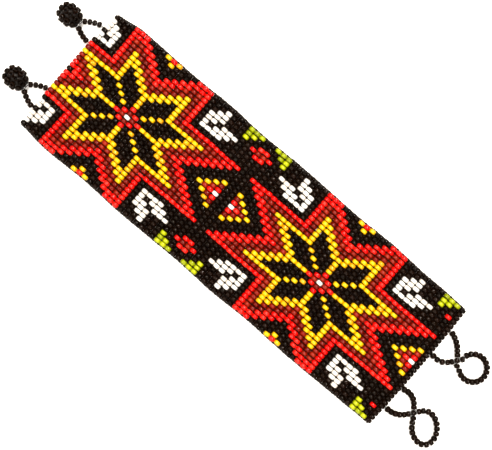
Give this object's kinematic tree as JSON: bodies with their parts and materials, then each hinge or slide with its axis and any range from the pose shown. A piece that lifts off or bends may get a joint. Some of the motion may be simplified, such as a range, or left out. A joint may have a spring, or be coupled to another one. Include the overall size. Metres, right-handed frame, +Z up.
{
  "type": "beaded bracelet",
  "caption": "Flat loom-woven seed-bead bracelet band with two beaded ball toggles at one end and two beaded loops at the other; it curls into a ring.",
  "frame": {"origin": "on the resting surface, under the centre of the laid-out bracelet", "axes": "+X along the band from the toggles to the loops, +Y across the band towards the edge that is on the upper left of the picture, +Z up out of the patterned face"},
  "size_m": [0.1734, 0.047, 0.0069],
  "materials": {
    "pattern_beads": "opaque glossy glass seed beads, in the colours of the woven chart",
    "black_beads": "opaque glossy black glass seed beads",
    "warp_thread": "waxed dark polyester beading thread",
    "cord_thread": "waxed dark polyester beading thread",
    "ball_core": "turned wooden bead, stained black-brown"
  },
  "bodies": {
    "band_01": {"bead_rows_01": "pattern_beads", "warp_threads_01": "warp_thread"},
    "band_02": {"bead_rows_02": "pattern_beads", "warp_threads_02": "warp_thread"},
    "band_03": {"bead_rows_03": "pattern_beads", "warp_threads_03": "warp_thread"},
    "band_04": {"bead_rows_04": "pattern_beads", "warp_threads_04": "warp_thread"},
    "band_05": {"bead_rows_05": "pattern_beads", "warp_threads_05": "warp_thread"},
    "band_06": {"bead_rows_06": "pattern_beads", "warp_threads_06": "warp_thread"},
    "band_07": {"bead_rows_07": "pattern_beads", "warp_threads_07": "warp_thread"},
    "band_08": {"bead_rows_08": "pattern_beads", "warp_threads_08": "warp_thread"},
    "band_09": {"bead_rows_09": "pattern_beads", "warp_threads_09": "warp_thread"},
    "band_10": {"bead_rows_10": "pattern_beads", "warp_threads_10": "warp_thread"},
    "band_11": {"bead_rows_11": "pattern_beads", "warp_threads_11": "warp_thread"},
    "band_12": {"bead_rows_12": "pattern_beads", "warp_threads_12": "warp_thread"},
    "band_13": {"bead_rows_13": "pattern_beads", "warp_threads_13": "warp_thread"},
    "band_14": {"bead_rows_14": "pattern_beads", "warp_threads_14": "warp_thread"},
    "band_15": {"bead_rows_15": "pattern_beads", "warp_threads_15": "warp_thread"},
    "band_16": {"bead_rows_16": "pattern_beads", "warp_threads_16": "warp_thread"},
    "band_17": {"bead_rows_17": "pattern_beads", "warp_threads_17": "warp_thread"},
    "band_18": {"bead_rows_18": "pattern_beads", "warp_threads_18": "warp_thread"},
    "band_19": {"bead_rows_19": "pattern_beads", "warp_threads_19": "warp_thread"},
    "band_20": {"bead_rows_20": "pattern_beads", "warp_threads_20": "warp_thread"},
    "band_21": {"bead_rows_21": "pattern_beads", "warp_threads_21": "warp_thread", "edging_row": "black_beads"},
    "upper_toggle_cords": {"upper_toggle_cord_beads": "black_beads", "upper_toggle_thread": "cord_thread"},
    "upper_toggle_ball": {"upper_toggle_ball_beads": "black_beads", "upper_toggle_ball_core": "ball_core"},
    "upper_loop_eye": {"upper_loop_eye_beads": "black_beads", "upper_loop_eye_thread": "cord_thread"},
    "upper_loop_ring": {"upper_loop_ring_beads": "black_beads", "upper_loop_ring_thread": "cord_thread"},
    "lower_toggle_cords": {"lower_toggle_cord_beads": "black_beads", "lower_toggle_thread": "cord_thread"},
    "lower_toggle_ball": {"lower_toggle_ball_beads": "black_beads", "lower_toggle_ball_core": "ball_core"},
    "lower_loop_eye": {"lower_loop_eye_beads": "black_beads", "lower_loop_eye_thread": "cord_thread"},
    "lower_loop_ring": {"lower_loop_ring_beads": "black_beads", "lower_loop_ring_thread": "cord_thread"}
  },
  "joints": [
    {"name": "right_curl", "type": "hinge", "parent": "band_11", "child": "band_12", "pos_m": [-0.00032, 0, 0.00102], "axis": [0, -1, 0], "range_deg": [0, 13]},
    {"name": "right_curl_13", "type": "hinge", "parent": "band_12", "child": "band_13", "pos_m": [0.00598, 0, 0.00102], "axis": [0, -1, 0], "range_deg": [0, 13]},
    {"name": "right_curl_14", "type": "hinge", "parent": "band_13", "child": "band_14", "pos_m": [0.01229, 0, 0.00102], "axis": [0, -1, 0], "range_deg": [0, 13]},
    {"name": "right_curl_15", "type": "hinge", "parent": "band_14", "child": "band_15", "pos_m": [0.01859, 0, 0.00102], "axis": [0, -1, 0], "range_deg": [0, 13]},
    {"name": "right_curl_16", "type": "hinge", "parent": "band_15", "child": "band_16", "pos_m": [0.02489, 0, 0.00102], "axis": [0, -1, 0], "range_deg": [0, 13]},
    {"name": "right_curl_17", "type": "hinge", "parent": "band_16", "child": "band_17", "pos_m": [0.03119, 0, 0.00102], "axis": [0, -1, 0], "range_deg": [0, 13]},
    {"name": "right_curl_18", "type": "hinge", "parent": "band_17", "child": "band_18", "pos_m": [0.03748, 0, 0.00102], "axis": [0, -1, 0], "range_deg": [0, 13]},
    {"name": "right_curl_19", "type": "hinge", "parent": "band_18", "child": "band_19", "pos_m": [0.04401, 0, 0.00102], "axis": [0, -1, 0], "range_deg": [0, 13]},
    {"name": "right_curl_20", "type": "hinge", "parent": "band_19", "child": "band_20", "pos_m": [0.05063, 0, 0.00102], "axis": [0, -1, 0], "range_deg": [0, 13]},
    {"name": "right_curl_21", "type": "hinge", "parent": "band_20", "child": "band_21", "pos_m": [0.05727, 0, 0.00102], "axis": [0, -1, 0], "range_deg": [0, 13]},
    {"name": "left_curl", "type": "hinge", "parent": "band_11", "child": "band_10", "pos_m": [-0.00662, 0, 0.00102], "axis": [0, 1, 0], "range_deg": [0, 13]},
    {"name": "left_curl_09", "type": "hinge", "parent": "band_10", "child": "band_09", "pos_m": [-0.01291, 0, 0.00102], "axis": [0, 1, 0], "range_deg": [0, 13]},
    {"name": "left_curl_08", "type": "hinge", "parent": "band_09", "child": "band_08", "pos_m": [-0.01921, 0, 0.00102], "axis": [0, 1, 0], "range_deg": [0, 13]},
    {"name": "left_curl_07", "type": "hinge", "parent": "band_08", "child": "band_07", "pos_m": [-0.02551, 0, 0.00102], "axis": [0, 1, 0], "range_deg": [0, 13]},
    {"name": "left_curl_06", "type": "hinge", "parent": "band_07", "child": "band_06", "pos_m": [-0.03182, 0, 0.00102], "axis": [0, 1, 0], "range_deg": [0, 13]},
    {"name": "left_curl_05", "type": "hinge", "parent": "band_06", "child": "band_05", "pos_m": [-0.03812, 0, 0.00102], "axis": [0, 1, 0], "range_deg": [0, 13]},
    {"name": "left_curl_04", "type": "hinge", "parent": "band_05", "child": "band_04", "pos_m": [-0.04442, 0, 0.00102], "axis": [0, 1, 0], "range_deg": [0, 13]},
    {"name": "left_curl_03", "type": "hinge", "parent": "band_04", "child": "band_03", "pos_m": [-0.05072, 0, 0.00102], "axis": [0, 1, 0], "range_deg": [0, 13]},
    {"name": "left_curl_02", "type": "hinge", "parent": "band_03", "child": "band_02", "pos_m": [-0.05702, 0, 0.00102], "axis": [0, 1, 0], "range_deg": [0, 13]},
    {"name": "left_curl_01", "type": "hinge", "parent": "band_02", "child": "band_01", "pos_m": [-0.06331, 0, 0.00102], "axis": [0, 1, 0], "range_deg": [0, 13]},
    {"name": "upper_toggle_swing", "type": "hinge", "parent": "band_01", "child": "upper_toggle_cords", "pos_m": [-0.07382, 0.0124, 0.00204], "axis": [0, 1, 0], "range_deg": [0, 110]},
    {"name": "upper_toggle_turn", "type": "hinge", "parent": "upper_toggle_cords", "child": "upper_toggle_ball", "pos_m": [-0.08289, 0.0124, 0.00344], "axis": [1, 0, 0], "range_deg": [-30, 30]},
    {"name": "upper_loop_swing", "type": "hinge", "parent": "band_21", "child": "upper_loop_eye", "pos_m": [0.06832, 0.0094, 0.00204], "axis": [0, -1, 0], "range_deg": [0, 120]},
    {"name": "upper_loop_fold", "type": "hinge", "parent": "upper_loop_eye", "child": "upper_loop_ring", "pos_m": [0.07551, 0.0094, 0.00095], "axis": [0, -1, 0], "range_deg": [0, 35]},
    {"name": "lower_toggle_swing", "type": "hinge", "parent": "band_01", "child": "lower_toggle_cords", "pos_m": [-0.07382, -0.0129, 0.00204], "axis": [0, 1, 0], "range_deg": [0, 110]},
    {"name": "lower_toggle_turn", "type": "hinge", "parent": "lower_toggle_cords", "child": "lower_toggle_ball", "pos_m": [-0.08289, -0.0129, 0.00344], "axis": [1, 0, 0], "range_deg": [-30, 30]},
    {"name": "lower_loop_swing", "type": "hinge", "parent": "band_21", "child": "lower_loop_eye", "pos_m": [0.06832, -0.0114, 0.00204], "axis": [0, -1, 0], "range_deg": [0, 120]},
    {"name": "lower_loop_fold", "type": "hinge", "parent": "lower_loop_eye", "child": "lower_loop_ring", "pos_m": [0.07581, -0.0114, 0.00095], "axis": [0, -1, 0], "range_deg": [0, 35]}
  ],
  "couplings": [
    {"joint": "right_curl_13", "follows": "right_curl", "ratio": 1},
    {"joint": "right_curl_14", "follows": "right_curl", "ratio": 1},
    {"joint": "right_curl_15", "follows": "right_curl", "ratio": 1},
    {"joint": "right_curl_16", "follows": "right_curl", "ratio": 1},
    {"joint": "right_curl_17", "follows": "right_curl", "ratio": 1},
    {"joint": "right_curl_18", "follows": "right_curl", "ratio": 1},
    {"joint": "right_curl_19", "follows": "right_curl", "ratio": 1},
    {"joint": "right_curl_20", "follows": "right_curl", "ratio": 1},
    {"joint": "right_curl_21", "follows": "right_curl", "ratio": 1},
    {"joint": "left_curl_09", "follows": "left_curl", "ratio": 1},
    {"joint": "left_curl_08", "follows": "left_curl", "ratio": 1},
    {"joint": "left_curl_07", "follows": "left_curl", "ratio": 1},
    {"joint": "left_curl_06", "follows": "left_curl", "ratio": 1},
    {"joint": "left_curl_05", "follows": "left_curl", "ratio": 1},
    {"joint": "left_curl_04", "follows": "left_curl", "ratio": 1},
    {"joint": "left_curl_03", "follows": "left_curl", "ratio": 1},
    {"joint": "left_curl_02", "follows": "left_curl", "ratio": 1},
    {"joint": "left_curl_01", "follows": "left_curl", "ratio": 1}
  ]
}
